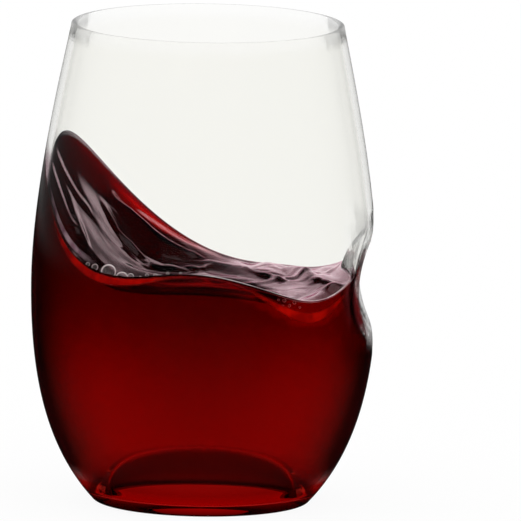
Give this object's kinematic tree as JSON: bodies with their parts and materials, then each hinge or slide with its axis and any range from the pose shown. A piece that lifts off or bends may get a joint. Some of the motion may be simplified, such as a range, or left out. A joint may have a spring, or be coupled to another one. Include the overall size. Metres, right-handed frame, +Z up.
{
  "type": "stemless wine glass",
  "caption": "Clear stemless wine tumbler with a thumb notch in its belly and a domed foot, holding red wine caught in a slosh.",
  "frame": {"origin": "on the table, at the centre of the foot ring", "axes": "+Z up along the axis of the bowl, +X towards the thumb notch"},
  "size_m": [0.0861, 0.0866, 0.1206],
  "materials": {
    "clear_wall": "polished",
    "red_wine": "polished"
  },
  "bodies": {
    "root": {"bowl": "clear_wall", "wine": "red_wine"}
  },
  "joints": []
}
